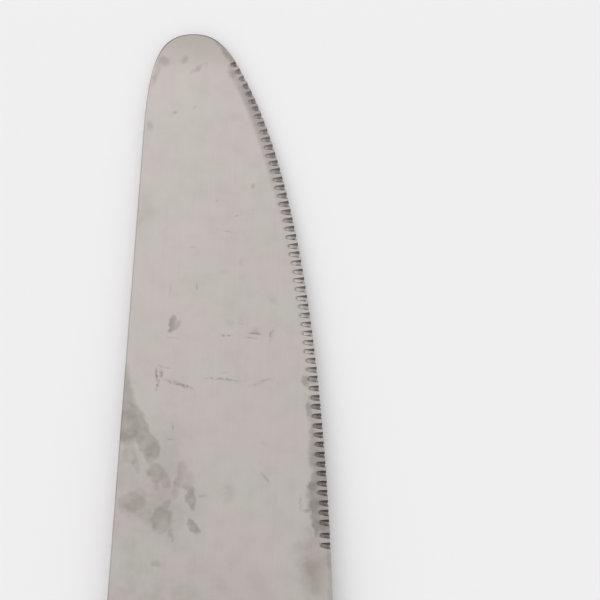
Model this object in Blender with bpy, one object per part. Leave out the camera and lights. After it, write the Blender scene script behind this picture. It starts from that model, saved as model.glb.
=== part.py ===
"""Serrated table knife with a hollow handle, lying on its left side.

It is built as a cutler builds it: a ground and fluted blade with a notched tang, a slotted
bolster that slides over the tang, two pressed half shells that close the handle, and a cement
filling that grips the tang inside them.

Metres, +Z up. While it is modelled, X runs from the spine to the cutting edge, Y from the
bolster's front face to the tip, and Z is 0 in the blade's middle plane.
"""

import math
from bisect import bisect_left

import bmesh
import bpy
from mathutils import Vector
from mathutils.geometry import interpolate_bezier

MM = 0.001

# Blade
BLADE_LENGTH = 108.0 * MM  # bolster to tip
BLADE_WIDTH = 20.8 * MM  # at its widest, spine to cutting edge
BELLY_PLACE = 28.0 * MM  # from the bolster to the widest place
SPINE_THICKNESS = 2.4 * MM  # at the bolster
GRIND_ALLOWANCE = 0.1 * MM  # ground off the bar that the blade and its tang are cut from
TIP_THICKNESS = 1.4 * MM  # of the spine line, at the tip
BELLY_THICKNESS = 0.6 * MM  # behind the edge, at the widest place

# Round nose of the blade
NOSE_PEAK = 4.7 * MM  # from the spine line to the foremost point
NOSE_SPINE_RUN = 11.3 * MM  # from the tip back to the end of the straight spine
NOSE_EDGE_RUN = 2.8 * MM  # from the tip back to the start of the cutting edge
NOSE_EDGE_WIDTH = 8.7 * MM  # of the blade at the start of the cutting edge
NOSE_EDGE_ANGLE = math.radians(32.5)  # of the cutting edge to the spine, at its start

# Fullness of the outline's curves: each handle's share of the run that it bends
NOSE_SPINE_FULLNESS = 0.7
NOSE_BACK_FULLNESS = 0.84
NOSE_FRONT_FULLNESS = 0.54
NOSE_EDGE_FULLNESS = 0.5
EDGE_FULLNESS = 0.28
BELLY_FULLNESS = 0.16
HEEL_FULLNESS = 0.5

# Heel of the blade, where it narrows to the bolster
HEEL_RUN = 9.0 * MM  # from the bolster to the end of the cutting edge
HEEL_RISE = 0.4 * MM  # of the edge at the heel, against the widest place
HEEL_INSET = 0.6 * MM  # from the bolster's lower side to the blade

# Cutting edge
BEVEL_WIDTH = 1.4 * MM
BEVEL_FADE = 6.0 * MM  # along the edge, at each end of the bevel
BEVEL_LIFT = 0.02 * MM  # of the grinding line above the face where the bevel runs out
EDGE_LAND = 0.3 * MM  # thickness left at the very edge

# Flutes of the serration, ground on the right face
FLUTE_PITCH = 0.9 * MM
FLUTE_LAND = 0.3 * MM  # left standing between two flutes
FLUTE_LENGTH = 1.05 * MM  # in from the edge
FLUTE_FLOOR = 0.15 * MM  # height of the round floor, below the upright flanks
FLUTE_BITE = 0.1 * MM  # depth of each scallop in the blade's outline
SERRATION_START = 0.5 * MM  # along the edge, from the end of the nose
SERRATION_LENGTH = 49.5 * MM

# Tang
TANG_LENGTH = 62.0 * MM
TANG_WIDTH = 7.0 * MM  # through the bolster
TANG_END_WIDTH = 4.4 * MM
TANG_CHAMFER = 1.1 * MM  # at the two corners of its end
NOTCH_DEPTH = 0.7 * MM
NOTCH_WIDTH = 3.0 * MM  # at its mouth
NOTCH_FLOOR = 2.3 * MM  # width of its floor
NOTCH_PAIRS = 3

# Bolster
BOLSTER_LENGTH = 8.0 * MM
BOLSTER_RISE = 0.5 * MM  # above the spine line
BOLSTER_STEP = 0.35 * MM  # from the blade's face out to the bolster's front
BOLSTER_FRONT_RADIUS = 0.7 * MM
SPIGOT_LENGTH = 6.0 * MM  # inside the handle

# Handle
HANDLE_LENGTH = 102.0 * MM
MOUTH_WIDTH = 13.6 * MM
MOUTH_THICKNESS = 6.2 * MM
BUTT_WIDTH = 20.0 * MM
HANDLE_THICKNESS = 9.4 * MM
SWELL_LENGTH = 70.0 * MM  # from the mouth to the full thickness
HANDLE_DROOP = 1.5 * MM  # of the handle's middle line towards the edge side, at the butt
BUTT_RADIUS = 6.0 * MM  # of the corners, seen from the side of the knife
BUTT_EDGE_RADIUS = 2.5 * MM  # of the butt, seen from above the spine
SHELL_WALL = 0.8 * MM
SEAM_LAND = 0.2 * MM  # straight wall of each half shell beside the seam

# Clearances
JOINT_GAP = 0.1 * MM  # between pieces that are brazed or cemented together

# Fineness of the curved surfaces
OUTLINE_STEPS = 18
CORNER_STEPS = 6
HANDLE_STATIONS = 12
BUTT_STATIONS = 7
BOLSTER_STATIONS = 7
SPIGOT_STATIONS = 3
EDGE_STATIONS = 24
EDGE_PATH_STEPS = 144
FLUTE_STEPS = 6
SHARP_ANGLE = math.radians(30.0)  # edges sharper than this stay crisp
WELD_DISTANCE = 0.005 * MM  # points closer than this become one

# How far a cutter reaches past what it cuts
OVERCUT = 4.0 * MM
EDGE_OVERCUT = 1.0 * MM  # of the bevel, along its slope

BOTH_FACES = (1, -1)  # right face up, left face down
TANG_THICKNESS = SPINE_THICKNESS + GRIND_ALLOWANCE
MOUTH_AXIS = MOUTH_WIDTH / 2 - BOLSTER_RISE  # X of the handle's middle line at its mouth
MOUTH_PLACE = -BOLSTER_LENGTH - JOINT_GAP  # Y of the handle's mouth


def clear_scene():
    for old in list(bpy.data.objects):
        bpy.data.objects.remove(old, do_unlink=True)


def new_collection(name):
    collection = bpy.data.collections.new(name)
    bpy.context.scene.collection.children.link(collection)
    return collection


def smooth_step(share):
    share = min(max(share, 0.0), 1.0)
    return share * share * (3.0 - 2.0 * share)


def new_object(name, mesh, collection):
    item = bpy.data.objects.new(name, mesh)
    collection.objects.link(item)
    return item


def new_cutter(name, mesh):
    cutter = new_object(name, mesh, CUTTERS)
    cutter.hide_render = True
    cutter.display_type = "WIRE"
    return cutter


def cut(item, cutter):
    modifier = item.modifiers.new("cut by " + cutter.name, "BOOLEAN")
    modifier.operation = "DIFFERENCE"
    modifier.solver = "EXACT"
    modifier.object = cutter


def finish_mesh(shape, name):
    """Turn a bmesh into a mesh that faces out."""
    bmesh.ops.recalc_face_normals(shape, faces=shape.faces)
    mesh = bpy.data.meshes.new(name)
    shape.to_mesh(mesh)
    shape.free()
    return mesh


def add_loft(shape, rings):
    """Join rings of equally many points into one solid with flat ends."""
    loops = [[shape.verts.new(point) for point in ring] for ring in rings]
    count = len(loops[0])
    for loop, following in zip(loops, loops[1:]):
        for i in range(count):
            j = (i + 1) % count
            shape.faces.new((loop[i], loop[j], following[j], following[i]))
    shape.faces.new(loops[0])
    shape.faces.new(loops[-1])


def round_loft(name, rings):
    """A loft that is shaded smooth where it is round."""
    shape = bmesh.new()
    add_loft(shape, rings)
    mesh = finish_mesh(shape, name)
    mesh.shade_smooth()
    mesh.set_sharp_from_angle(angle=SHARP_ANGLE)
    return mesh


def block(name, low, high):
    """A box between two corners."""
    shape = bmesh.new()
    bmesh.ops.create_cube(shape, size=1.0)
    size = Vector(high) - Vector(low)
    bmesh.ops.scale(shape, vec=size, verts=shape.verts)
    bmesh.ops.translate(shape, vec=Vector(low) + size / 2, verts=shape.verts)
    return finish_mesh(shape, name)


def rounded_ring(place, axis, half_width, half_height, radius):
    """A rounded rectangle across the knife at one Y."""
    ring = []
    for corner in range(4):
        side = 1 if corner in (0, 3) else -1
        rise = 1 if corner in (0, 1) else -1
        for step in range(CORNER_STEPS + 1):
            angle = math.pi / 2 * (corner + step / CORNER_STEPS)
            x = axis + side * (half_width - radius) + radius * math.cos(angle)
            z = rise * (half_height - radius) + radius * math.sin(angle)
            ring.append(Vector((x, place, z)))
    return ring


def outline_mesh(name, knots, thickness):
    """Extrude a closed outline of Bezier knots (point, handle before, handle after)."""
    curve = bpy.data.curves.new(name, "CURVE")
    curve.dimensions = "2D"
    curve.fill_mode = "BOTH"
    curve.extrude = thickness / 2
    curve.resolution_u = OUTLINE_STEPS
    spline = curve.splines.new("BEZIER")
    spline.use_cyclic_u = True
    spline.bezier_points.add(len(knots) - 1)
    for target, (point, before, after) in zip(spline.bezier_points, knots):
        target.handle_left_type = "VECTOR" if before == point else "FREE"
        target.handle_right_type = "VECTOR" if after == point else "FREE"
        target.co = point.to_3d()
        target.handle_left = before.to_3d()
        target.handle_right = after.to_3d()
    guide = new_object(name + "_outline", curve, CUTTERS)
    graph = bpy.context.evaluated_depsgraph_get()
    mesh = bpy.data.meshes.new_from_object(guide.evaluated_get(graph))
    bpy.data.objects.remove(guide, do_unlink=True)
    shape = bmesh.new()
    shape.from_mesh(mesh)
    bmesh.ops.remove_doubles(shape, verts=shape.verts, dist=WELD_DISTANCE)
    return finish_mesh(shape, name)


def corner_knot(x, y):
    point = Vector((x, y))
    return point, point, point


def smooth_knot(x, y, direction, before, after):
    """A knot that the outline passes in one direction, with its two handle lengths."""
    point = Vector((x, y))
    heading = Vector(direction).normalized()
    return point, point - heading * before, point + heading * after


def edge_knots():
    """The cutting edge: its start at the nose, the belly and its end at the heel."""
    start_heading = (math.sin(NOSE_EDGE_ANGLE), -math.cos(NOSE_EDGE_ANGLE))
    to_heel = (0, -1)
    start_place = BLADE_LENGTH - NOSE_EDGE_RUN
    into_start = NOSE_EDGE_FULLNESS * NOSE_EDGE_RUN
    out_of_start = EDGE_FULLNESS * (start_place - BELLY_PLACE)
    into_belly = BELLY_FULLNESS * (start_place - BELLY_PLACE)
    belly_to_heel = HEEL_FULLNESS * (BELLY_PLACE - HEEL_RUN)
    out_of_heel = HEEL_FULLNESS * HEEL_RUN
    heel_width = BLADE_WIDTH - HEEL_RISE
    return [
        smooth_knot(NOSE_EDGE_WIDTH, start_place, start_heading, into_start, out_of_start),
        smooth_knot(BLADE_WIDTH, BELLY_PLACE, to_heel, into_belly, belly_to_heel),
        smooth_knot(heel_width, HEEL_RUN, to_heel, belly_to_heel, out_of_heel),
    ]


def nose_knots():
    """The round nose, from the end of the straight spine to its foremost point."""
    spine_end = BLADE_LENGTH - NOSE_SPINE_RUN
    off_spine = NOSE_SPINE_FULLNESS * NOSE_SPINE_RUN
    into_peak = NOSE_BACK_FULLNESS * NOSE_PEAK
    off_peak = NOSE_FRONT_FULLNESS * (NOSE_EDGE_WIDTH - NOSE_PEAK)
    return [
        smooth_knot(0.0, spine_end, (0, 1), 0.0, off_spine),
        smooth_knot(NOSE_PEAK, BLADE_LENGTH, (1, 0), into_peak, off_peak),
    ]


def tang_side(gap):
    """Places behind the blade's shoulder and the tang's half width there, notches included."""
    straight = BOLSTER_LENGTH + SPIGOT_LENGTH
    free = TANG_LENGTH - straight
    taper = (TANG_WIDTH - TANG_END_WIDTH) / 2 / free

    def half_width(place):
        return TANG_WIDTH / 2 - taper * max(place - straight, 0.0) + gap

    side = [(straight, half_width(straight))]
    outer = NOTCH_WIDTH / 2 - gap
    inner = NOTCH_FLOOR / 2 - gap
    for pair in range(NOTCH_PAIRS):
        middle = straight + free * (pair + 1) / (NOTCH_PAIRS + 1)
        side.append((middle - outer, half_width(middle - outer)))
        side.append((middle - inner, half_width(middle - inner) - NOTCH_DEPTH))
        side.append((middle + inner, half_width(middle + inner) - NOTCH_DEPTH))
        side.append((middle + outer, half_width(middle + outer)))
    end = TANG_LENGTH + gap
    side.append((end - TANG_CHAMFER, half_width(end - TANG_CHAMFER)))
    side.append((end, half_width(end) - TANG_CHAMFER))
    return side


def tang_knots(gap, root):
    """The tang's outline from a root in front of it, round its end and back."""
    side = [(-root, TANG_WIDTH / 2 + gap)] + tang_side(gap)
    edge_side = [corner_knot(MOUTH_AXIS + half, -place) for place, half in side]
    spine_side = [corner_knot(MOUTH_AXIS - half, -place) for place, half in reversed(side)]
    return edge_side + spine_side


def blade_outline():
    bolster_low_side = MOUTH_AXIS + MOUTH_WIDTH / 2 - HEEL_INSET
    heel = smooth_knot(bolster_low_side, JOINT_GAP, (0, -1), HEEL_FULLNESS * HEEL_RUN, 0.0)
    return (
        [corner_knot(0.0, JOINT_GAP)]
        + nose_knots()
        + edge_knots()
        + [heel]
        + tang_knots(0.0, JOINT_GAP)
    )


def face_height(x, y):
    """Height of the ground right face: a plane that falls to the edge and to the tip."""
    along = (SPINE_THICKNESS - TIP_THICKNESS) / 2 / BLADE_LENGTH
    belly_spine = SPINE_THICKNESS / 2 - along * BELLY_PLACE
    across = (belly_spine - BELLY_THICKNESS / 2) / BLADE_WIDTH
    return SPINE_THICKNESS / 2 - along * y - across * x


def face_grind(name):
    """All that lies outside the two ground faces, in front of the blade's shoulder."""
    shape = bmesh.new()
    left, right = -OVERCUT, BLADE_WIDTH + OVERCUT
    clear = SPINE_THICKNESS + OVERCUT
    for side in BOTH_FACES:
        rings = []
        for y in (0.0, BLADE_LENGTH + OVERCUT):
            section = (
                (left, face_height(left, y)),
                (right, face_height(right, y)),
                (right, clear),
                (left, clear),
            )
            rings.append([Vector((x, y, side * z)) for x, z in section])
        add_loft(shape, rings)
    return new_cutter(name, finish_mesh(shape, name))


def edge_path():
    """Points along the cutting edge, and the length of edge that leads to each."""
    points = []
    knots = edge_knots()
    for (start, _, leaving), (end, arriving, _) in zip(knots, knots[1:]):
        stretch = interpolate_bezier(start, leaving, arriving, end, EDGE_PATH_STEPS)
        points += [point.to_2d() for point in stretch[1 if points else 0 :]]
    lengths = [0.0]
    for previous, point in zip(points, points[1:]):
        lengths.append(lengths[-1] + (point - previous).length)
    return points, lengths


def edge_at(path, length):
    """The point of the edge at one length, its heading and its outward direction."""
    points, lengths = path
    after = min(max(bisect_left(lengths, length), 1), len(points) - 1)
    before = after - 1
    share = (length - lengths[before]) / (lengths[after] - lengths[before])
    heading = (points[after] - points[before]).normalized()
    return points[before].lerp(points[after], share), heading, Vector((-heading.y, heading.x))


def bevel_line(path, length):
    """The bevel at one place of the edge: (inset, height) of its inner end and of its edge end.

    It runs out onto the face at both ends of the edge, and lies just above it there.
    """
    whole = path[1][-1]
    point, _, outward = edge_at(path, length)
    fade = smooth_step(min(length, whole - length) / BEVEL_FADE)
    lift = BEVEL_LIFT * (1.0 - fade)
    inner = point - outward * BEVEL_WIDTH
    face_edge = face_height(point.x, point.y)
    edge = face_edge + (EDGE_LAND / 2 - face_edge) * fade
    return (BEVEL_WIDTH, face_height(inner.x, inner.y) + lift), (0.0, edge + lift)


def edge_bevel(name, path):
    """All that lies outside the edge's bevel on both faces."""
    shape = bmesh.new()
    for side in BOTH_FACES:
        rings = []
        for step in range(EDGE_STATIONS + 1):
            length = path[1][-1] * step / EDGE_STATIONS
            point, _, outward = edge_at(path, length)
            (inset, height), (_, edge_height) = bevel_line(path, length)
            slope = (height - edge_height) / inset
            section = (
                (inset + EDGE_OVERCUT, height + slope * EDGE_OVERCUT),
                (-EDGE_OVERCUT, edge_height - slope * EDGE_OVERCUT),
                (-EDGE_OVERCUT, SPINE_THICKNESS),
                (inset + EDGE_OVERCUT, SPINE_THICKNESS),
            )
            spots = [(point - outward * distance, z) for distance, z in section]
            rings.append([Vector((spot.x, spot.y, side * z)) for spot, z in spots])
        add_loft(shape, rings)
    bmesh.ops.triangulate(shape, faces=shape.faces)  # the bevel twists, and flat faces cut cleanly
    return new_cutter(name, finish_mesh(shape, name))


def flute_section(centre, across, up):
    """A channel with a round floor at its centre and upright flanks, open above."""
    half_width = (FLUTE_PITCH - FLUTE_LAND) / 2
    section = []
    for step in range(FLUTE_STEPS + 1):
        angle = math.pi * (1.0 + step / FLUTE_STEPS)
        aside = half_width * math.cos(angle)
        rise = FLUTE_FLOOR * (1.0 + math.sin(angle))
        section.append(centre + across * aside + up * rise)
    flank = up * (SPINE_THICKNESS + FLUTE_LENGTH)
    return section + [section[-1] + flank, section[0] + flank]


def flute_wheel(name, path):
    """A row of channels that sink from the bevel to the edge, one for each flute."""
    shape = bmesh.new()
    reach = min(SERRATION_LENGTH, path[1][-1] - SERRATION_START - FLUTE_PITCH)
    for index in range(round(reach / FLUTE_PITCH) + 1):
        length = SERRATION_START + index * FLUTE_PITCH
        point, heading, outward = edge_at(path, length)
        (inset, height), (_, edge_height) = bevel_line(path, length)
        inner = point - outward * FLUTE_LENGTH
        top = edge_height + (height - edge_height) * FLUTE_LENGTH / inset
        start = Vector((inner.x, inner.y, min(top, face_height(inner.x, inner.y))))
        through = point - outward * FLUTE_BITE
        sinking = Vector((through.x, through.y, -EDGE_LAND / 2)) - start
        across = heading.to_3d()
        up = across.cross(sinking).normalized()
        if up.z < 0:
            up = -up
        ends = (start - sinking, start + 2 * sinking)
        add_loft(shape, [flute_section(end, across, up) for end in ends])
    return new_cutter(name, finish_mesh(shape, name))


def tang_clearance():
    """The tang and a gap all round, long enough to pass the bolster's front."""
    knots = tang_knots(JOINT_GAP, OVERCUT)
    mesh = outline_mesh("tang_clearance", knots, TANG_THICKNESS + 2 * JOINT_GAP)
    return new_cutter("tang_clearance", mesh)


def handle_ring(distance, inset):
    """Section of the handle at a distance behind its mouth, drawn in by an inset."""
    share = distance / HANDLE_LENGTH
    half_width = MOUTH_WIDTH + (BUTT_WIDTH - MOUTH_WIDTH) * smooth_step(share)
    half_width = half_width / 2 - inset
    swell = smooth_step(distance / SWELL_LENGTH)
    half_height = MOUTH_THICKNESS + (HANDLE_THICKNESS - MOUTH_THICKNESS) * swell
    half_height = half_height / 2 - inset
    to_end = HANDLE_LENGTH - inset - distance
    half_width -= corner_loss(BUTT_RADIUS - inset, to_end)
    half_height -= corner_loss(BUTT_EDGE_RADIUS - inset, to_end)
    axis = MOUTH_AXIS + HANDLE_DROOP * max(share, 0.0) ** 2
    radius = min(half_height, half_width) - SEAM_LAND
    return rounded_ring(MOUTH_PLACE - distance, axis, half_width, half_height, radius)


def corner_loss(radius, to_end):
    """How far a rounded corner draws a side in, close to the end."""
    if to_end >= radius:
        return 0.0
    return radius - math.sqrt(max(radius**2 - (radius - to_end) ** 2, 0.0))


def handle_body(name, start, inset):
    """The handle's form from a place behind the mouth to the butt, drawn in by an inset."""
    end = HANDLE_LENGTH - inset
    round_start = end - (BUTT_RADIUS - inset)
    places = []
    for step in range(HANDLE_STATIONS):
        places.append(start + (round_start - start) * step / HANDLE_STATIONS)
    for step in range(BUTT_STATIONS + 1):
        turn = math.pi / 2 * step / BUTT_STATIONS
        places.append(round_start + (end - round_start) * math.sin(turn))
    return round_loft(name, [handle_ring(place, inset) for place in places])


def bolster_body(name):
    """The bolster flares from the blade to the handle's mouth, with a spigot behind."""
    rings = []
    for step in range(BOLSTER_STATIONS + 1):
        share = step / BOLSTER_STATIONS
        swell = smooth_step(share)
        front = SPINE_THICKNESS / 2 + BOLSTER_STEP
        half_height = front + (MOUTH_THICKNESS / 2 - front) * swell
        full_radius = MOUTH_THICKNESS / 2 - SEAM_LAND
        radius = BOLSTER_FRONT_RADIUS + (full_radius - BOLSTER_FRONT_RADIUS) * swell
        place = -BOLSTER_LENGTH * share
        rings.append(rounded_ring(place, MOUTH_AXIS, MOUTH_WIDTH / 2, half_height, radius))
    inset = SHELL_WALL + JOINT_GAP
    shoulder = handle_ring(0.0, inset)
    for point in shoulder:
        point.y = -BOLSTER_LENGTH
    rings.append(shoulder)
    for step in range(SPIGOT_STATIONS):
        rings.append(handle_ring(SPIGOT_LENGTH * (step + 1) / SPIGOT_STATIONS, inset))
    return round_loft(name, rings)


def new_material(name, colour, roughness, metallic):
    material = bpy.data.materials.new(name)
    material.use_nodes = True
    shader = material.node_tree.nodes["Principled BSDF"]
    shader.inputs["Base Color"].default_value = (*colour, 1.0)
    shader.inputs["Roughness"].default_value = roughness
    shader.inputs["Metallic"].default_value = metallic
    material.diffuse_color = (*colour, 1.0)
    return material


def add_part(name, mesh, material):
    part = new_object(name, mesh, PARTS)
    if not mesh.materials:
        mesh.materials.append(material)
    part.parent = KNIFE
    return part


def make_blade():
    steel = new_material("satin_blade_steel", (0.50, 0.47, 0.45), 0.35, 1.0)
    blade = add_part("blade", outline_mesh("blade", blade_outline(), TANG_THICKNESS), steel)
    path = edge_path()
    cut(blade, face_grind("face_grind"))
    cut(blade, edge_bevel("edge_bevel", path))
    cut(blade, flute_wheel("flute_wheel", path))
    weld = blade.modifiers.new("weld slivers left by the cuts", "WELD")
    weld.merge_threshold = WELD_DISTANCE
    return blade


def make_bolster(slot):
    steel = new_material("polished_bolster_steel", (0.55, 0.53, 0.51), 0.2, 1.0)
    bolster = add_part("bolster", bolster_body("bolster"), steel)
    cut(bolster, slot)
    return bolster


def make_handle_shells():
    steel = new_material("polished_shell_steel", (0.55, 0.53, 0.51), 0.2, 1.0)
    outside = handle_body("handle_outside", 0.0, 0.0)
    inside = handle_body("handle_inside", -OVERCUT, SHELL_WALL)
    hollow = new_cutter("handle_hollow", inside)
    low = (-BUTT_WIDTH, MOUTH_PLACE - HANDLE_LENGTH - OVERCUT)
    high = (2 * BUTT_WIDTH, MOUTH_PLACE + OVERCUT)
    seam = JOINT_GAP / 2
    shells = []
    for name, floor, ceiling in (
        ("handle_shell_right", -HANDLE_THICKNESS, seam),
        ("handle_shell_left", -seam, HANDLE_THICKNESS),
    ):
        shell = add_part(name, outside, steel)
        cut(shell, hollow)
        other_half = name + "_other_half"
        cut(shell, new_cutter(other_half, block(other_half, (*low, floor), (*high, ceiling))))
        shells.append(shell)
    return shells


def make_filler(slot):
    cement = new_material("handle_cement", (0.30, 0.26, 0.21), 0.9, 0.0)
    mesh = handle_body("handle_filler", SPIGOT_LENGTH + JOINT_GAP, SHELL_WALL + JOINT_GAP)
    filler = add_part("handle_filler", mesh, cement)
    cut(filler, slot)
    return filler


def stand_on_floor(parts):
    """Move the knife so that the middle of its box's underside is the origin."""
    bpy.context.view_layer.update()
    graph = bpy.context.evaluated_depsgraph_get()
    corners = []
    for part in parts:
        corners += [Vector(corner) for corner in part.evaluated_get(graph).bound_box]
    low = Vector(min(corner[axis] for corner in corners) for axis in range(3))
    high = Vector(max(corner[axis] for corner in corners) for axis in range(3))
    middle = (low + high) / 2
    KNIFE.location = (-middle.x, -middle.y, -low.z)


clear_scene()
PARTS = new_collection("serrated_table_knife")
CUTTERS = new_collection("cutters")
KNIFE = bpy.data.objects.new("knife_frame", None)
PARTS.objects.link(KNIFE)

tang_slot = tang_clearance()
knife_parts = [make_blade(), make_bolster(tang_slot), *make_handle_shells(), make_filler(tang_slot)]
for guide in CUTTERS.objects:
    guide.parent = KNIFE
stand_on_floor(knife_parts)
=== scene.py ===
"""Looks of a serrated table knife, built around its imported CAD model.

Sizes are in millimetres unless a name says otherwise. The knife lies on its left side, with the tip
along +Y, the cutting edge along +X and the fluted right face up.
"""

import math
import random
from bisect import bisect_left

import bmesh
import bpy
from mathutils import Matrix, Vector
from mathutils.geometry import interpolate_bezier


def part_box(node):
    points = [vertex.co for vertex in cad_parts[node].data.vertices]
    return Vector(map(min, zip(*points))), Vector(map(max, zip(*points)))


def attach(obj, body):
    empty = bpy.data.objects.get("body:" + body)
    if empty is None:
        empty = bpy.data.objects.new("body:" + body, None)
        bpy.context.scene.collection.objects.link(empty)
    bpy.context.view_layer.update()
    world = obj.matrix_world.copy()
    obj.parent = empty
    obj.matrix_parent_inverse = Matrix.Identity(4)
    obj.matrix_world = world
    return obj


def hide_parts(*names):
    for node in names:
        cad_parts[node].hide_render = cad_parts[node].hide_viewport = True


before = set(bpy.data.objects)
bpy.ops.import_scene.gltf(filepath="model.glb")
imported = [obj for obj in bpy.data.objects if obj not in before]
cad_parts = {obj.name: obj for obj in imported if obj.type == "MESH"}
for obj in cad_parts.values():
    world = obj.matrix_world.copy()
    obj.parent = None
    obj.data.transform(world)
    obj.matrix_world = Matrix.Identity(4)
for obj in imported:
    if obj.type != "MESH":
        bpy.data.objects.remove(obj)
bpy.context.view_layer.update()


# Blade: a forging of martensitic stainless steel, rolled to a taper and ground to a thin wedge.
# A narrow bevel is ground along the cutting edge, and a formed wheel cuts a row of small flutes
# into it on the right face only. It is held by its tang, inside the handle.
MM = 0.001
BLADE_LENGTH = 108.0  # bolster to tip
BLADE_WIDTH = 20.8  # at the belly, where it is widest
BELLY_PLACE = 28.0  # from the bolster
SPINE_THICKNESS = 2.4  # at the bolster
TIP_THICKNESS = 1.4  # of the spine line, at the tip
BELLY_THICKNESS = 0.6  # behind the edge, at the belly
NOSE_PEAK = 4.7  # from the spine line to the foremost point
SPINE_END = BLADE_LENGTH - 11.3  # where the straight spine turns into the nose
EDGE_START = BLADE_LENGTH - 2.8  # where the nose turns into the cutting edge
EDGE_START_WIDTH = 8.7
EDGE_START_ANGLE = math.radians(32.5)
HEEL_PLACE = 9.0
HEEL_WIDTH = 20.4
SHOULDER_WIDTH = 12.5  # where the heel meets the bolster
SHOULDER_GAP = 0.1  # between the shoulder and the bolster

# How far each curve of the outline holds the direction it starts or ends in, as a share of its run.
SPINE_HOLD = 0.7  # of the nose, up from the spine
PEAK_START = 0.16  # of the nose's flat peak, from the spine line
PEAK_END = 0.54  # of the peak towards the edge
EDGE_LEAD = 0.5  # of the nose, before the edge starts
EDGE_HOLD = 0.28
BELLY_HOLD = 0.16
HEEL_HOLD = 0.5
SPINE_SIDE_STEPS = 120  # points along each curve
EDGE_SIDE_STEPS = 90
EDGE_STEPS = 400
BELLY_STEPS = 100
HEEL_STEPS = 60

blade_low, blade_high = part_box("blade")
blade_origin = Vector(
    (blade_low.x, blade_high.y - BLADE_LENGTH * MM, (blade_low.z + blade_high.z) / 2)
)


def place(x, y, z):
    """A point of the knife in metres: X from the spine, Y from the bolster, Z from the middle plane."""
    return blade_origin + Vector((x, y, z)) * MM


def smooth_step(share):
    share = min(max(share, 0.0), 1.0)
    return share * share * (3.0 - 2.0 * share)


def ramp(value, start, run):
    """A smooth rise from 0 at the start to 1 at the end of its run."""
    return smooth_step((value - start) / run)


def blend(a, b, share):
    return a + (b - a) * share


def curve_points(start, leaving, arriving, end, steps):
    """A Bezier curve with its two ends."""
    corners = [Vector(point).to_3d() for point in (start, leaving, arriving, end)]
    return [point.to_2d() for point in interpolate_bezier(*corners, steps + 1)]


def path_lengths(points):
    lengths = [0.0]
    for before, after in zip(points, points[1:]):
        lengths.append(lengths[-1] + (after - before).length)
    return lengths


def path_at(points, lengths, length):
    """A point of a path at one length along it, and the direction out of the blade there."""
    after = min(max(bisect_left(lengths, length), 1), len(points) - 1)
    share = (length - lengths[after - 1]) / (lengths[after] - lengths[after - 1])
    heading = (points[after] - points[after - 1]).normalized()
    return points[after - 1].lerp(points[after], share), Vector((-heading.y, heading.x))


def face_height(spot):
    """Half the blade's thickness at a place: a plane that falls to the edge and to the tip."""
    along = (SPINE_THICKNESS - TIP_THICKNESS) / 2 / BLADE_LENGTH
    at_belly = SPINE_THICKNESS / 2 - along * BELLY_PLACE
    across = (at_belly - BELLY_THICKNESS / 2) / BLADE_WIDTH
    return SPINE_THICKNESS / 2 - along * spot.y - across * spot.x


edge_run = EDGE_START - BELLY_PLACE
edge_heading = Vector((math.sin(EDGE_START_ANGLE), -math.cos(EDGE_START_ANGLE)))
edge_start = Vector((EDGE_START_WIDTH, EDGE_START))
belly = Vector((BLADE_WIDTH, BELLY_PLACE))
heel = Vector((HEEL_WIDTH, HEEL_PLACE))
nose_tip = Vector((NOSE_PEAK, BLADE_LENGTH))
nose_path = curve_points(
    (0.0, SPINE_END),
    (0.0, blend(SPINE_END, BLADE_LENGTH, SPINE_HOLD)),
    (NOSE_PEAK * PEAK_START, BLADE_LENGTH),
    nose_tip,
    SPINE_SIDE_STEPS,
)
nose_path += curve_points(
    nose_tip,
    (blend(NOSE_PEAK, EDGE_START_WIDTH, PEAK_END), BLADE_LENGTH),
    edge_start - edge_heading * EDGE_LEAD * (BLADE_LENGTH - EDGE_START),
    edge_start,
    EDGE_SIDE_STEPS,
)[1:]
edge_path = curve_points(
    edge_start,
    edge_start + edge_heading * EDGE_HOLD * edge_run,
    belly + Vector((0.0, BELLY_HOLD * edge_run)),
    belly,
    EDGE_STEPS,
)
edge_path += curve_points(
    belly,
    belly - Vector((0.0, HEEL_HOLD * (BELLY_PLACE - HEEL_PLACE))),
    heel + Vector((0.0, HEEL_HOLD * (BELLY_PLACE - HEEL_PLACE))),
    heel,
    BELLY_STEPS,
)[1:]
heel_path = curve_points(
    heel,
    heel - Vector((0.0, HEEL_HOLD * HEEL_PLACE)),
    (SHOULDER_WIDTH, HEEL_HOLD * HEEL_PLACE),
    (SHOULDER_WIDTH, SHOULDER_GAP),
    HEEL_STEPS,
)
nose_lengths = path_lengths(nose_path)
edge_lengths = path_lengths(edge_path)
heel_lengths = path_lengths(heel_path)

# The rim is made of sections that run from the flat of the right face to the flat of the left face:
# a buffed corner along the spine and the nose, and a ground bevel on both sides of the edge.
CORNER_RADIUS = 0.22
BEVEL_WIDTH = 1.4
BEVEL_FADE = 6.0  # along the edge, at each end of the bevel
EDGE_LAND = 0.3  # thickness left at the very edge
EDGE_THINNEST = 0.02  # where a flute breaks through
EDGE_SEARCH = 0.002  # step in from the edge, to find that place
FACE_MARGIN = 0.15  # from the bevel's inner line to the flat face
SECTION_FADE = 2.5  # from a buffed corner to a ground edge
RIGHT_ROWS = 11
LEFT_ROWS = 5
LEFT_BEVEL = (0.0, 0.33, 0.66, 1.0)  # places of its rows, as shares of the bevel

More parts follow.
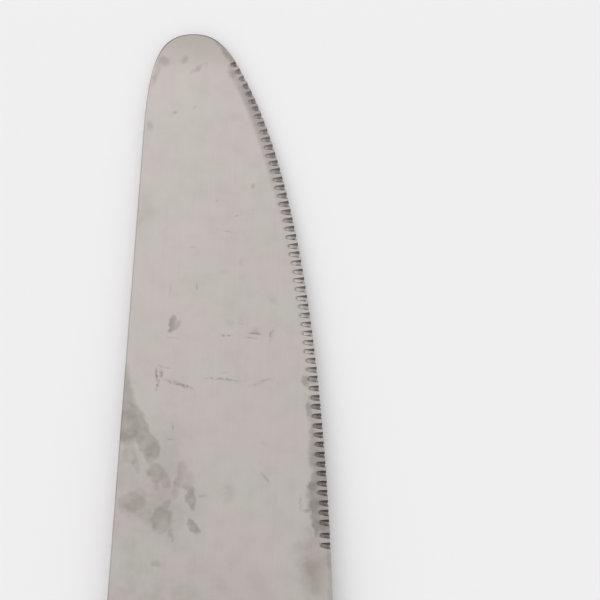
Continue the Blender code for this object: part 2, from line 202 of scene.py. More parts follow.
# Each flute has a round inner end, a leaning flank towards the tip, a floor that sinks to the edge and
# lies higher towards the heel, and a mouth that flares.
FLUTE_HALF_WIDTH = 0.2
FLUTE_LENGTH = 1.0
FLUTE_STEP = 0.06  # depth just inside the round inner end, and the run it takes
FLUTE_BITE = 0.12  # of the scallop in the outline
FLOOR_CURVE = 1.4  # how the floor sinks towards the edge, where 1 is straight
FLANK_SLOPE = math.tan(math.radians(52.0))  # of the leaning flank
HEEL_LIFT = 0.5  # depth of the floor beside its wall towards the heel, against its full depth
HEEL_WALL_CURVE = 8.0  # how short that wall is, where 1 is the whole floor
TIP_FLUTE_END = 14.0  # along the edge, where the flutes have grown to their full length
TIP_FLUTE_DEPTH = 0.3  # of the first flute

# Darkening, where 1 is the darkest flank of a flute: painted shade on the flutes' flanks and rims and
# on the nose's rim, dried food towards the heel, and a darker bevel and darker floors near the tip.
SPINE_DARKENING = 0.08  # faint darkening on the corner of the spine
# painted shade on the rim of the nose
NOSE_RIM_SHADE = 1.35
NOSE_TURN = (0.2, 0.4)  # how far the outline faces the tip where the nose's painted shade starts, and its run
EDGE_TURN = (0.4, 0.35)  # how far it faces the edge side where that ends, and its run
DULL_ROWS = 3  # of the corner, from the face to the full darkening
TIP_RESIDUE = 0.64  # on the bevel near the tip
TIP_RESIDUE_START = 4.0  # along the edge, where it is full
TIP_RESIDUE_END = 24.0
TIP_RESIDUE_MIDDLE = 0.8  # share of it halfway up the bevel
TIP_FLOOR_RESIDUE = 0.54  # in the flutes near the tip
TIP_FLOOR_FADE = 17.0  # along the edge, with the run it takes
TIP_FLOOR_RUN = 7.0
TIP_FLUTE_SHADE = 0.5  # share of the residue and painted shade in the first flute
HEEL_RESIDUE = 0.8  # in the flutes where food has dried on
HEEL_RESIDUE_START = 29.5  # along the edge, with the run it takes
HEEL_RESIDUE_RUN = 9.5
RIM_SHADE = 0.55  # painted shade along the rim of a flute
HEEL_RIM = (0.55, 0.3)  # where it starts across the flute's half towards the heel, and its run
TIP_RIM = (0.75, 0.2)  # the same, towards the tip
FLANK_TOP_SHADE = 0.2  # painted shade at the inner end of the leaning flank
FLANK_BLEND = 0.08  # height above the floor at which the flank's painted shade is full


def corner_section(spot, outward):
    """A buffed corner as (inset, height, darkening, freshness): from the right face to the left."""
    height = face_height(spot - outward * CORNER_RADIUS)
    # Painted shade on the nose's rim, fading to a faint darkening along the spine.
    at_nose = ramp(outward.y, *NOSE_TURN) * (1.0 - ramp(outward.x, *EDGE_TURN))
    corner_darkening = blend(SPINE_DARKENING, NOSE_RIM_SHADE, at_nose)
    section = []
    for rows, side in ((RIGHT_ROWS, 1), (LEFT_ROWS, -1)):
        arc = []
        for row in range(rows + 1):
            turn = math.pi / 2 * row / rows
            inset = CORNER_RADIUS * (1.0 - math.sin(turn))
            drop = CORNER_RADIUS * (1.0 - math.cos(turn))
            arc.append((inset, side * (height - drop), corner_darkening * smooth_step(row / DULL_ROWS), 0.0))
        section += arc if side > 0 else arc[::-1]
    return section


def edge_section(spot, outward, length, flute=None, across=0.0):
    """A ground edge as (inset, height, residue and painted shade, freshness), with a flute in it where
    one is given.

    A flute is (half width, length of its channel, freshness of its floor, flare), and the place
    across it runs from -1 at its rim towards the tip to 1 at its rim towards the heel.
    """
    fade = smooth_step(min(length, edge_lengths[-1] - length) / BEVEL_FADE)
    edge_height = blend(face_height(spot), EDGE_LAND / 2, fade)
    inner_height = face_height(spot - outward * BEVEL_WIDTH)
    slope = (inner_height - edge_height) / BEVEL_WIDTH
    stale = TIP_RESIDUE * smooth_step(length / TIP_RESIDUE_START)
    stale *= 1.0 - smooth_step(length / TIP_RESIDUE_END)
    dried = HEEL_RESIDUE * ramp(length, HEEL_RESIDUE_START, HEEL_RESIDUE_RUN)
    at_tip = smooth_step((TIP_FLOOR_FADE + TIP_FLOOR_RUN - length) / TIP_FLOOR_RUN)
    dried = max(dried, TIP_FLOOR_RESIDUE * at_tip)
    shade = blend(TIP_FLUTE_SHADE, 1.0, smooth_step(length / TIP_FLUTE_END))

    def surface(inset):
        if inset > BEVEL_WIDTH:
            return face_height(spot - outward * inset)
        return edge_height + slope * inset

    half_width, channel, fresh, _ = flute or (FLUTE_HALF_WIDTH, FLUTE_LENGTH, 0.0, 0.0)
    reach = min(abs(across), 1.0)
    start = channel - half_width * (1.0 - math.sqrt(1.0 - reach * reach))
    inside = flute is not None and abs(across) <= 1.0
    full_depth = blend(TIP_FLUTE_DEPTH, surface(FLUTE_BITE) + EDGE_LAND / 2, fade) - FLUTE_STEP
    full_depth /= (1.0 - FLUTE_BITE / channel) ** FLOOR_CURVE
    flank = FLANK_SLOPE * (across + 1.0) * half_width

    def floor(inset):
        run = max(start - inset, 0.0)
        deep = min(run, FLUTE_STEP) + full_depth * (run / channel) ** FLOOR_CURVE
        to_heel = max(across, 0.0)
        return deep * blend(1.0, HEEL_LIFT, to_heel) * (1.0 - to_heel**HEEL_WALL_CURVE)

    def depth(inset):
        return min(floor(inset), flank) if inside else 0.0

    edge_inset = 0.0  # grows where a flute breaks through the edge
    while 2.0 * surface(edge_inset) - depth(edge_inset) < EDGE_THINNEST:
        edge_inset += EDGE_SEARCH
    section = [
        (inset, surface(inset), stale * share, 0.0)
        for inset, share in (
            (BEVEL_WIDTH + FACE_MARGIN, 0.0),
            (BEVEL_WIDTH, 0.0),
            (blend(start, BEVEL_WIDTH, 0.5), TIP_RESIDUE_MIDDLE),
            (start, 1.0),
        )
    ]
    if inside:
        # painted shade along the flute's inner rim
        section[-1] = (start, surface(start), max(RIM_SHADE, stale), 0.0)
    steps = RIGHT_ROWS + 1 - len(section)
    for step in range(steps):
        share = step / (steps - 1)
        inset = blend(start - FLUTE_STEP, edge_inset, share)
        residue_and_shade = stale
        if inside:
            # Painted shade: the leaning flank towards the tip and the flute's rim are darkened.
            flank_shade = ramp(floor(inset), flank, FLANK_BLEND) * blend(FLANK_TOP_SHADE, 1.0, share)
            at_rim = ramp(across, *HEEL_RIM) * (1.0 - share)
            at_rim = max(at_rim, ramp(-across, *TIP_RIM))
            residue_and_shade = max(stale, shade * max(dried, flank_shade, RIM_SHADE * at_rim))
        section.append((inset, surface(inset) - depth(inset), residue_and_shade, fresh if inside else 0.0))
    for share in LEFT_BEVEL:
        inset = blend(edge_inset, BEVEL_WIDTH, share)
        section.append((inset, -surface(inset), 0.0, 0.0))
    for inset in (BEVEL_WIDTH + FACE_MARGIN / 2, BEVEL_WIDTH + FACE_MARGIN):
        section.append((inset, -surface(inset), 0.0, 0.0))
    return section


def station(spot, outward, section, flare=0.0):
    """The points of one section of the rim, each with its residue and painted shade, and its freshness.

    A section on the heel side of a flute flares along the edge.
    """
    along = Vector((outward.y, -outward.x))
    points = []
    for inset, height, residue_and_shade, fresh in section:
        inner = spot - outward * inset + along * flare * max(1.0 - inset / FLUTE_LENGTH, 0.0)
        points.append((place(inner.x, inner.y, height), residue_and_shade, fresh))
    return points


def mixed_section(first, second, share):
    return [
        tuple(blend(a, b, share) for a, b in zip(one, other)) for one, other in zip(first, second)
    ]


SPINE_STATIONS = 25
NOSE_STATIONS = 90
PLAIN_STATIONS = 70  # behind the last flute
HEEL_STATIONS = 30
stations = []
to_spine_side = Vector((-1.0, 0.0))
for step in range(SPINE_STATIONS):
    spot = Vector((0.0, blend(SHOULDER_GAP, SPINE_END, step / SPINE_STATIONS)))
    stations.append(station(spot, to_spine_side, corner_section(spot, to_spine_side)))
for step in range(NOSE_STATIONS):
    length = nose_lengths[-1] * step / NOSE_STATIONS
    spot, outward = path_at(nose_path, nose_lengths, length)
    share = smooth_step(1.0 - (nose_lengths[-1] - length) / SECTION_FADE)
    ground = edge_section(spot, outward, 0.0)
    section = mixed_section(corner_section(spot, outward), ground, share)
    stations.append(station(spot, outward, section))

# The wheel was indexed by hand, so each flute differs a little in place, width and length. Towards
# the tip and the heel the flutes are shorter.
FLUTE_PITCH = 0.9
FLUTE_COUNT = 56
FLUTE_START = 0.4  # along the edge
PLACE_ERROR = 0.035
WIDTH_SPREAD = (0.92, 1.04)
LENGTH_SPREAD = (0.93, 1.06)
TIP_FLUTE_LENGTH = 0.6  # of the first flute
HEEL_FLUTE_LENGTH = 0.86  # of the last flutes
FLUTE_FLARE = 1.6  # of the mouth towards the heel, as a share of the half width
HEEL_FLUTE_FLARE = 1.0
SLIPPED_FLUTES = 2  # before which the wheel was moved too far
SLIP = 0.28
RIM = 1.07  # outside of a flute's broken corner, where 1 is its half width
COLUMNS = (-RIM, -1.0, -0.85, -0.65, -0.4, -0.1, 0.2, 0.45, 0.65, 0.85, 1.0, RIM)
chance = random.Random(7)
places = [(0.0, None, 0.0)]
for index in range(FLUTE_COUNT):
    middle = FLUTE_START + index * FLUTE_PITCH + chance.uniform(-PLACE_ERROR, PLACE_ERROR)
    half_width = FLUTE_HALF_WIDTH * chance.uniform(*WIDTH_SPREAD)
    grown = smooth_step(middle / TIP_FLUTE_END)
    if index >= FLUTE_COUNT - SLIPPED_FLUTES:
        middle += SLIP
    worn = ramp(middle, HEEL_RESIDUE_START, HEEL_RESIDUE_RUN)
    channel = blend(blend(TIP_FLUTE_LENGTH, FLUTE_LENGTH, grown), HEEL_FLUTE_LENGTH, worn)
    channel *= chance.uniform(*LENGTH_SPREAD)
    clean = ramp(middle, TIP_FLOOR_FADE, TIP_FLOOR_RUN) * (1.0 - worn)
    flare = blend(FLUTE_FLARE, HEEL_FLUTE_FLARE, worn) * half_width
    flute = (half_width, channel, clean * chance.random() ** 2, flare)
    for column in COLUMNS:
        places.append((middle + column * half_width, flute, column))
places_end = places[-1][0]
for step in range(1, PLAIN_STATIONS):
    places.append((blend(places_end, edge_lengths[-1], step / PLAIN_STATIONS), None, 0.0))
for length, flute, across in places:
    spot, outward = path_at(edge_path, edge_lengths, length)
    section = edge_section(spot, outward, length, flute, across)
    *_, flare = flute or (0.0,)
    stations.append(station(spot, outward, section, flare * max(across, 0.0)))
for step in range(HEEL_STATIONS + 1):
    length = heel_lengths[-1] * step / HEEL_STATIONS
    spot, outward = path_at(heel_path, heel_lengths, length)
    share = smooth_step(length / SECTION_FADE)
    ground = edge_section(spot, outward, edge_lengths[-1])
    section = mixed_section(ground, corner_section(spot, outward), share)
    stations.append(station(spot, outward, section))


def new_piece(name, shape, material):
    """Turn a bmesh into a piece that rides with the knife."""
    bmesh.ops.recalc_face_normals(shape, faces=shape.faces)
    mesh = bpy.data.meshes.new(name)
    shape.to_mesh(mesh)
    shape.free()
    mesh.materials.append(material)
    piece = bpy.data.objects.new(name, mesh)
    bpy.context.scene.collection.objects.link(piece)
    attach(piece, "root")
    return piece


def rim_shape(sections):
    """A solid with two flat faces and a shaped rim, from the rim's sections."""
    shape = bmesh.new()
    layers = [shape.verts.layers.float.new(name) for name in ("residue_and_shade", "freshness")]
    rim = []
    for section in sections:
        rim.append([])
        for point, *amounts in section:
            corner = shape.verts.new(point)
            for layer, amount in zip(layers, amounts):
                corner[layer] = amount
            rim[-1].append(corner)
    for near, far in zip(rim, rim[1:]):
        for i in range(len(near) - 1):
            face = shape.faces.new((near[i], near[i + 1], far[i + 1], far[i]))
            face.smooth = True
    shape.faces.new([section[0] for section in rim])
    shape.faces.new([section[-1] for section in rim])
    shape.faces.new(rim[0] + rim[-1][::-1])
    return shape


def linear(code):
    """An sRGB hex colour in linear light, by the standard's constants, with full alpha."""
    channels = [int(code[i : i + 2], 16) / 255 for i in (1, 3, 5)]
    light = [c / 12.92 if c <= 0.04045 else ((c + 0.055) / 1.055) ** 2.4 for c in channels]
    return (*light, 1.0)


def add_node(material, kind, links=None, **settings):
    """Add a node to a material or a world, with its settings.

    Links are {input: output socket or constant}.
    """
    tree = material.node_tree
    made = tree.nodes.new(kind)
    for name, value in settings.items():
        setattr(made, name, value)
    for name, value in (links or {}).items():
        if isinstance(value, bpy.types.NodeSocket):
            tree.links.new(value, made.inputs[name])
        else:
            made.inputs[name].default_value = value
    return made


def new_material(name):
    material = bpy.data.materials.new(name)
    material.use_nodes = True
    return material, material.node_tree.nodes["Principled BSDF"]


# Satin ground stainless steel: the eye sees a calm warm grey with a soft sheen, faint clouds of
# handling and old polish, and hardly any grinding lines. Grey tarnish has dried on near the spine
# and beside the flutes, with a few smudges and scratches across the middle. Shade is painted in at
# the tip, on the nose's rim and on the flanks and rims of the flutes. Noise lies mostly between 0.3
# and 0.7, so each pattern stretches its own part of that range.
satin_steel, satin_shader = new_material("satin_ground_stainless_steel")
CLOUD_SIZE = 7.0
MOTTLE_SIZE = 1.6
MOTTLE_SHARE = 0.16
GRIND_LINE_WIDTH = 0.14  # drawn coarser than the real grit, so that it shows
GRIND_LINE_LENGTH = 16.0
GRIND_LINE_DEPTH = 0.005
GRIND_LINE_SHARE = 0.05
NOSE_TIP_SHADE = 0.9  # painted shade at the tip
NOSE_TIP_SHADE_LENGTH = 5.5
RAGGED_SIZE = 0.8  # of the bays along a dried edge
RAGGED_DEPTH = 0.4
SCRATCH_WANDER = 0.2
GRAIN_SIZE = 0.3  # of the breaks in a scratch
STAIN_LEAST = 0.6  # strength of a stain where it is thinnest
SCRATCH_LEAST = 0.2
RESIDUE_AND_SHADE_SHARE = 0.62
SATIN_ROUGHNESS = (0.34, 0.42)  # from the smoothest spots to the roughest
TARNISH_ROUGHNESS = 0.1  # added by tarnish
FRESH_ROUGHNESS = -0.2  # added by the clean floor of a flute
NOISE_MIDDLE = (0.5, 0.5, 0.5)
COLOUR_A, COLOUR_B, COLOUR_OUT = 6, 7, 2  # the colour sockets of a Mix node
knife_mm = add_node(
    satin_steel,
    "ShaderNodeVectorMath",
    {0: add_node(satin_steel, "ShaderNodeTexCoord").outputs["Object"], 1: blade_origin},
    operation="SUBTRACT",
)
knife_mm = add_node(
    satin_steel,
    "ShaderNodeVectorMath",
    {0: knife_mm.outputs[0], "Scale": 1.0 / MM},
    operation="SCALE",
).outputs[0]
knife_spot = add_node(satin_steel, "ShaderNodeSeparateXYZ", {0: knife_mm})
clouds = add_node(
    satin_steel, "ShaderNodeTexNoise", {"Vector": knife_mm, "Scale": 1.0 / CLOUD_SIZE, "Detail": 3.0}
)
mottle = add_node(
    satin_steel, "ShaderNodeTexNoise", {"Vector": knife_mm, "Scale": 1.0 / MOTTLE_SIZE, "Detail": 4.0}
)
grind_lines = add_node(
    satin_steel,
    "ShaderNodeTexNoise",
    {
        "Vector": add_node(
            satin_steel,
            "ShaderNodeVectorMath",
            {0: knife_mm, 1: (1.0 / GRIND_LINE_WIDTH, 1.0 / GRIND_LINE_LENGTH, 1.0)},
            operation="MULTIPLY",
        ).outputs[0],
        "Scale": 1.0,
        "Detail": 2.0,
    },
)

# Marks on the right face, each (x, y, half width, half length, lean in degrees, softness, strength).
TARNISH = [
    (1.95, 66.4, 0.8, 3.3, 23, 0.2, 0.78),
    (3.0, 65.0, 0.75, 1.25, 15, 0.25, 0.95),
    (0.25, 69.5, 0.7, 3.4, 8, 0.3, 0.52),
    (0.75, 67.0, 1.3, 1.9, 5, 0.3, 0.85),
    (1.0, 64.4, 0.75, 1.0, 0, 0.6, 0.45),
    (1.7, 63.4, 0.3, 1.1, 17, 0.5, 0.58),
    (0.5, 63.0, 0.35, 1.6, 0, 0.6, 0.3),
    (3.6, 62.6, 0.85, 1.15, 18, 0.35, 0.78),
    (4.45, 61.95, 0.55, 0.9, 30, 0.4, 0.68),
    (3.75, 61.3, 0.25, 0.5, 0, 0.5, 0.55),
    (1.7, 59.85, 1.3, 1.0, 0, 0.35, 0.75),
    (2.4, 60.8, 0.9, 0.45, -30, 0.5, 0.5),
    (0.75, 59.6, 0.5, 0.9, 0, 0.5, 0.65),
    (2.45, 58.6, 0.2, 0.8, 0, 0.6, 0.45),
    (3.7, 60.4, 0.8, 0.2, -20, 0.6, 0.35),
    (4.35, 58.4, 1.05, 1.3, 5, 0.3, 0.82),
    (4.75, 59.8, 0.4, 0.6, -15, 0.5, 0.6),
    (3.0, 58.5, 0.7, 1.0, 0, 0.6, 0.6),
    (5.35, 57.2, 0.2, 0.8, 8, 0.5, 0.6),
    (5.95, 62.9, 0.5, 0.95, 0, 0.45, 0.62),
    (6.6, 62.1, 0.6, 0.7, 0, 0.7, 0.6),
    (5.7, 61.9, 0.45, 0.7, 10, 0.45, 0.6),
    (6.5, 61.5, 0.35, 1.0, 51, 0.4, 0.65),
    (6.9, 60.5, 0.48, 1.2, 8, 0.3, 0.8),
    (5.4, 60.8, 0.5, 0.6, 0, 0.6, 0.5),
    (8.0, 60.66, 0.4, 0.18, 0, 0.6, 0.45),
    (7.25, 57.85, 0.42, 0.78, 32, 0.25, 0.88),
    (7.55, 57.5, 0.45, 0.3, 0, 0.4, 0.7),
    (4.1, 54.35, 0.5, 0.3, 20, 0.7, 0.3),
    (1.6, 54.2, 0.8, 0.8, 0, 0.9, 0.3),
    (3.2, 60.6, 3.8, 5.6, 0, 0.8, 0.34),
    (5.0, 52.0, 8.0, 2.8, 0, 0.9, 0.25),
    (7.65, 106.4, 0.42, 1.7, 37, 0.5, 0.75),
    (4.14, 76.9, 0.27, 0.8, -8, 0.25, 1.0),
    (4.55, 76.7, 0.28, 0.64, -40, 0.5, 0.8),
    (17.05, 71.8, 0.3, 0.55, 6, 0.4, 0.7),
    (17.7, 71.8, 0.65, 0.25, 0, 0.5, 0.55),
    (17.45, 69.05, 0.33, 0.85, 12, 0.35, 0.75),
    (18.1, 68.0, 0.7, 2.6, 6.5, 0.5, 0.4),
    (17.85, 66.8, 0.3, 1.0, 8, 0.4, 0.65),
    (18.6, 64.4, 0.95, 2.4, 6.5, 0.3, 0.7),
    (18.95, 60.6, 1.28, 3.2, 6.5, 0.25, 0.95),
    (18.1, 62.0, 0.4, 1.7, 2, 0.3, 1.0),
    (18.3, 59.2, 0.33, 1.9, 8, 0.3, 0.85),
    (17.6, 59.75, 0.45, 0.16, 8, 0.5, 0.7),
    (18.4, 54.8, 1.4, 2.9, 6.5, 0.7, 0.5),
    (19.85, 52.5, 0.28, 4.6, 2.5, 0.5, 0.6),
]
SMUDGES = [
    (1.5, 104.7, 0.65, 0.5, 0, 0.6, 0.5),
    (3.77, 104.95, 0.28, 0.36, -20, 0.8, 0.45),
    (4.85, 103.9, 0.2, 0.7, -53, 0.7, 0.5),
    (2.97, 98.98, 0.2, 0.2, 0, 0.8, 0.5),
    (4.9, 99.6, 0.12, 0.34, -40, 0.8, 0.45),
    (0.55, 97.5, 0.3, 0.5, 20, 0.7, 0.4),
    (5.9, 104.6, 0.16, 0.12, 0, 0.8, 0.3),
    (0.85, 103.3, 0.28, 1.3, -13, 0.6, 0.4),
    (8.75, 104.8, 0.35, 0.9, 33, 0.7, 0.55),
    (8.6, 103.6, 0.35, 0.6, 32, 0.7, 0.6),
    (11.24, 91.42, 0.19, 0.26, -10, 0.7, 0.5),
    (7.8, 89.67, 0.14, 0.12, 0, 0.9, 0.35),
    (0.6, 88.2, 0.8, 2.2, 0, 0.9, 0.22),
    (8.76, 82.3, 0.4, 0.3, 0, 0.9, 0.2),
    (10.4, 83.3, 0.2, 0.25, 0, 0.9, 0.2),
    (13.75, 79.6, 0.28, 0.32, 20, 0.9, 0.25),
    (9.6, 77.2, 0.4, 0.28, 0, 0.9, 0.25),
    (12.05, 76.5, 0.3, 0.28, 0, 0.8, 0.35),
    (10.3, 61.1, 0.5, 0.8, 0, 0.9, 0.22),
    (13.4, 65.7, 0.3, 0.25, 0, 0.9, 0.22),
    (4.2, 54.4, 0.5, 0.2, 0, 0.9, 0.25),
]
SCRATCHES = [
    (9.83, 88.2, 0.09, 0.5, -70, 0.8, 0.3),
    (8.94, 86.5, 0.08, 0.8, 80, 0.8, 0.3),
    (5.65, 84.72, 0.08, 0.45, 88, 0.7, 0.5),
    (3.76, 80.32, 0.08, 0.5, 0, 0.8, 0.4),
    (6.29, 80.6, 0.09, 0.4, 0, 0.8, 0.4),
    (10.77, 77.15, 0.07, 0.3, 90, 0.8, 0.35),
    (9.37, 75.96, 0.09, 0.55, 92, 0.6, 0.55),
    (12.0, 76.24, 0.1, 0.55, 88, 0.6, 0.7),
    (11.66, 75.8, 0.08, 0.55, 88, 0.6, 0.55),
    (13.64, 76.24, 0.16, 0.55, -10, 0.7, 0.5),
    (4.3, 75.55, 0.06, 0.5, 88, 0.8, 0.3),
    (3.0, 71.9, 0.12, 0.5, 3, 0.8, 0.8),
    (3.45, 71.9, 0.15, 0.35, -8, 0.8, 0.6),
    (3.2, 71.0, 0.15, 0.5, -5, 0.8, 0.8),
    (3.69, 72.62, 0.08, 0.5, 76, 0.8, 0.35),
    (5.23, 71.0, 0.17, 1.3, 73, 0.6, 0.55),
    (9.23, 71.65, 0.11, 1.45, 88, 0.7, 0.5),
    (9.38, 72.31, 0.12, 0.3, 90, 0.8, 0.35),
    (12.84, 71.52, 0.1, 0.9, -66, 0.8, 0.35),
    (14.46, 71.63, 0.08, 0.08, 0, 0.4, 0.9),
    (4.86, 67.0, 0.1, 0.4, 0, 0.6, 0.5),
    (4.67, 65.83, 0.08, 0.35, 80, 0.7, 0.35),
    (13.71, 62.5, 0.09, 0.55, 38, 0.7, 0.4),
    (16.95, 60.36, 0.08, 0.65, 4, 0.7, 0.4),
]
RUDDY = [
    (18.15, 54.6, 0.75, 1.5, 12, 0.8, 0.42),
    (1.55, 64.0, 0.3, 0.6, 10, 0.9, 0.35),
    (6.0, 58.0, 0.5, 0.5, 0, 0.8, 0.35),
    (11.43, 88.96, 0.09, 0.09, 0, 0.6, 0.5),
    (12.0, 76.4, 0.5, 0.4, 0, 0.9, 0.3),
]


def marks_mask(material, coordinates, marks):
    """A mask of soft-edged ellipses, each a spherical gradient laid out by its own mapping."""
    mask = 0.0
    for x, y, half_width, half_length, lean, softness, strength in marks:
        mark = add_node(
            material, "ShaderNodeTexGradient", {"Vector": coordinates}, gradient_type="SPHERICAL"
        )
        layout = mark.texture_mapping
        layout.vector_type = "TEXTURE"
        layout.translation = (x, y, 0.0)
        layout.rotation = (0.0, 0.0, math.radians(lean))
        layout.scale = (half_width * (1.0 + softness), half_length * (1.0 + softness), 1.0)
        spot = add_node(
            material,
            "ShaderNodeMapRange",
            {
                "Value": mark.outputs["Fac"],
                "From Max": 2.0 * softness / (1.0 + softness),
                "To Max": strength,
            },
            interpolation_type="SMOOTHSTEP",
        )
        mask = add_node(
            material, "ShaderNodeMath", {0: mask, 1: spot.outputs[0]}, operation="MAXIMUM"
        ).outputs[0]
    return mask


right_face = add_node(
    satin_steel, "ShaderNodeMath", {0: knife_spot.outputs["Z"], 1: 0.0}, operation="GREATER_THAN"
).outputs[0]
ragged = add_node(
    satin_steel, "ShaderNodeTexNoise", {"Vector": knife_mm, "Scale": 1.0 / RAGGED_SIZE, "Detail": 3.0}
)
ragged = add_node(
    satin_steel,
    "ShaderNodeVectorMath",
    {0: ragged.outputs["Color"], 1: NOISE_MIDDLE},
    operation="SUBTRACT",
).outputs[0]
masks = []
for marks, wander in (
    (TARNISH, RAGGED_DEPTH),
    (SMUDGES, RAGGED_DEPTH),
    (RUDDY, RAGGED_DEPTH),
    (SCRATCHES, SCRATCH_WANDER),
):
    spread = add_node(
        satin_steel,
        "ShaderNodeVectorMath",
        {0: ragged, 1: (2.0 * wander, 2.0 * wander, 0.0), 2: knife_mm},
        operation="MULTIPLY_ADD",
    )
    flat = add_node(
        satin_steel,
        "ShaderNodeVectorMath",
        {0: spread.outputs[0], 1: (1.0, 1.0, 0.0)},
        operation="MULTIPLY",
    )
    mask = marks_mask(satin_steel, flat.outputs[0], marks)
    mask = add_node(satin_steel, "ShaderNodeMath", {0: mask, 1: right_face}, operation="MULTIPLY")
    masks.append(mask.outputs[0])
grain = add_node(
    satin_steel, "ShaderNodeTexNoise", {"Vector": knife_mm, "Scale": 1.0 / GRAIN_SIZE, "Detail": 2.0}
)
thinning = [(mottle, STAIN_LEAST)] * 3 + [(grain, SCRATCH_LEAST)]
for index, (noise, least) in enumerate(thinning):
    breaks = add_node(
        satin_steel,
        "ShaderNodeMapRange",
        {"Value": noise.outputs["Fac"], "From Min": 0.4, "From Max": 0.6, "To Min": least},
    )
    masks[index] = add_node(
        satin_steel, "ShaderNodeMath", {0: masks[index], 1: breaks.outputs[0]}, operation="MULTIPLY"
    ).outputs[0]
tarnish_mask, smudge_mask, ruddy_mask, scratch_mask = masks

cloud_share = add_node(
    satin_steel,
    "ShaderNodeMapRange",
    {"Value": clouds.outputs["Fac"], "From Min": 0.35, "From Max": 0.65},
).outputs[0]
steel_colour = add_node(
    satin_steel,
    "ShaderNodeMix",
    {0: cloud_share, COLOUR_A: linear("#C3B9B7"), COLOUR_B: linear("#BFBBB5")},
    data_type="RGBA",
).outputs[COLOUR_OUT]
# Painted shade: the steel darkens towards the tip.
nose_shade_mask = add_node(
    satin_steel,
    "ShaderNodeMapRange",
    {
        "Value": knife_spot.outputs["Y"],
        "From Min": BLADE_LENGTH - NOSE_TIP_SHADE_LENGTH,
        "From Max": BLADE_LENGTH,
        "To Max": NOSE_TIP_SHADE,
    },
    interpolation_type="SMOOTHSTEP",
).outputs[0]
line_share = add_node(
    satin_steel,
    "ShaderNodeMapRange",
    {
        "Value": grind_lines.outputs["Fac"],
        "From Min": 0.3,
        "From Max": 0.7,
        "To Max": GRIND_LINE_SHARE,
    },
).outputs[0]
mottle_share = add_node(
    satin_steel,
    "ShaderNodeMapRange",
    {"Value": mottle.outputs["Fac"], "From Min": 0.45, "From Max": 0.75, "To Max": MOTTLE_SHARE},
).outputs[0]
# This attribute holds both dried residue and painted shade: the dark flanks and rims of the flutes and
# the nose's rim.
residue_and_shade = add_node(satin_steel, "ShaderNodeAttribute", attribute_name="residue_and_shade").outputs["Fac"]
residue_and_shade = add_node(
    satin_steel, "ShaderNodeMath", {0: residue_and_shade, 1: RESIDUE_AND_SHADE_SHARE}, operation="MULTIPLY"
).outputs[0]
freshness = add_node(satin_steel, "ShaderNodeAttribute", attribute_name="freshness").outputs["Fac"]
for mask, shade in (
    (line_share, "#8E8885"),
    (mottle_share, "#A7A29E"),
    (nose_shade_mask, "#ABA49F"),
    (tarnish_mask, "#96918B"),
    (smudge_mask, "#8F827E"),
    (ruddy_mask, "#A5928E"),
    (scratch_mask, "#77726C"),
    (residue_and_shade, "#3E3A36"),
):
    steel_colour = add_node(
        satin_steel,
        "ShaderNodeMix",
        {0: mask, COLOUR_A: steel_colour, COLOUR_B: linear(shade)},
        data_type="RGBA",
    ).outputs[COLOUR_OUT]
steel_roughness = add_node(
    satin_steel,
    "ShaderNodeMapRange",
    {
        "Value": mottle.outputs["Fac"],
        "From Min": 0.3,
        "From Max": 0.7,
        "To Min": SATIN_ROUGHNESS[0],
        "To Max": SATIN_ROUGHNESS[1],
    },
).outputs[0]
for amount, added in ((tarnish_mask, TARNISH_ROUGHNESS), (freshness, FRESH_ROUGHNESS)):
    steel_roughness = add_node(
        satin_steel,
        "ShaderNodeMath",
        {0: amount, 1: added, 2: steel_roughness},
        operation="MULTIPLY_ADD",
    ).outputs[0]
steel_bump = add_node(
    satin_steel,
    "ShaderNodeBump",
    {"Height": grind_lines.outputs["Fac"], "Strength": 0.15, "Distance": GRIND_LINE_DEPTH * MM},
).outputs[0]
satin_shader.inputs["Metallic"].default_value = 1.0
satin_steel.node_tree.links.new(steel_colour, satin_shader.inputs["Base Color"])
satin_steel.node_tree.links.new(steel_roughness, satin_shader.inputs["Roughness"])
satin_steel.node_tree.links.new(steel_bump, satin_shader.inputs["Normal"])

# The tang behind the shoulder is as thick as the bar that the blade was forged from. It tapers to
# its end, and has pairs of notches that the cement of the handle grips.
TANG_THICKNESS = 2.5
TANG_LENGTH = 62.0
TANG_WIDTH = 7.0
TANG_END_WIDTH = 4.4
TANG_CHAMFER = 1.1
TANG_STRAIGHT = 14.0  # through the bolster and its spigot
NOTCH_DEPTH = 0.7
NOTCH_WIDTH = 3.0
NOTCH_FLOOR = 2.3
NOTCH_PAIRS = 3
HANDLE_AXIS = 6.3  # of the tang, the bolster and the handle's mouth
GROUND_CORNER = math.radians(20.0)  # corners sharper than this stay crisp


def tang_half_width(place_behind):
    taper = (TANG_WIDTH - TANG_END_WIDTH) / 2 / (TANG_LENGTH - TANG_STRAIGHT)
    return TANG_WIDTH / 2 - taper * max(place_behind - TANG_STRAIGHT, 0.0)


tang_side = [(-SHOULDER_GAP, tang_half_width(0.0)), (TANG_STRAIGHT, tang_half_width(0.0))]
for pair in range(NOTCH_PAIRS):
    middle = blend(TANG_STRAIGHT, TANG_LENGTH, (pair + 1) / (NOTCH_PAIRS + 1))
    for reach, depth in (
        (-NOTCH_WIDTH / 2, 0.0),
        (-NOTCH_FLOOR / 2, NOTCH_DEPTH),
        (NOTCH_FLOOR / 2, NOTCH_DEPTH),
        (NOTCH_WIDTH / 2, 0.0),
    ):
        tang_side.append((middle + reach, tang_half_width(middle + reach) - depth))
tang_side.append((TANG_LENGTH - TANG_CHAMFER, tang_half_width(TANG_LENGTH - TANG_CHAMFER)))
tang_side.append((TANG_LENGTH, tang_half_width(TANG_LENGTH) - TANG_CHAMFER))
tang_outline = [(HANDLE_AXIS + half, -behind) for behind, half in tang_side]
tang_outline += [(HANDLE_AXIS - half, -behind) for behind, half in reversed(tang_side)]

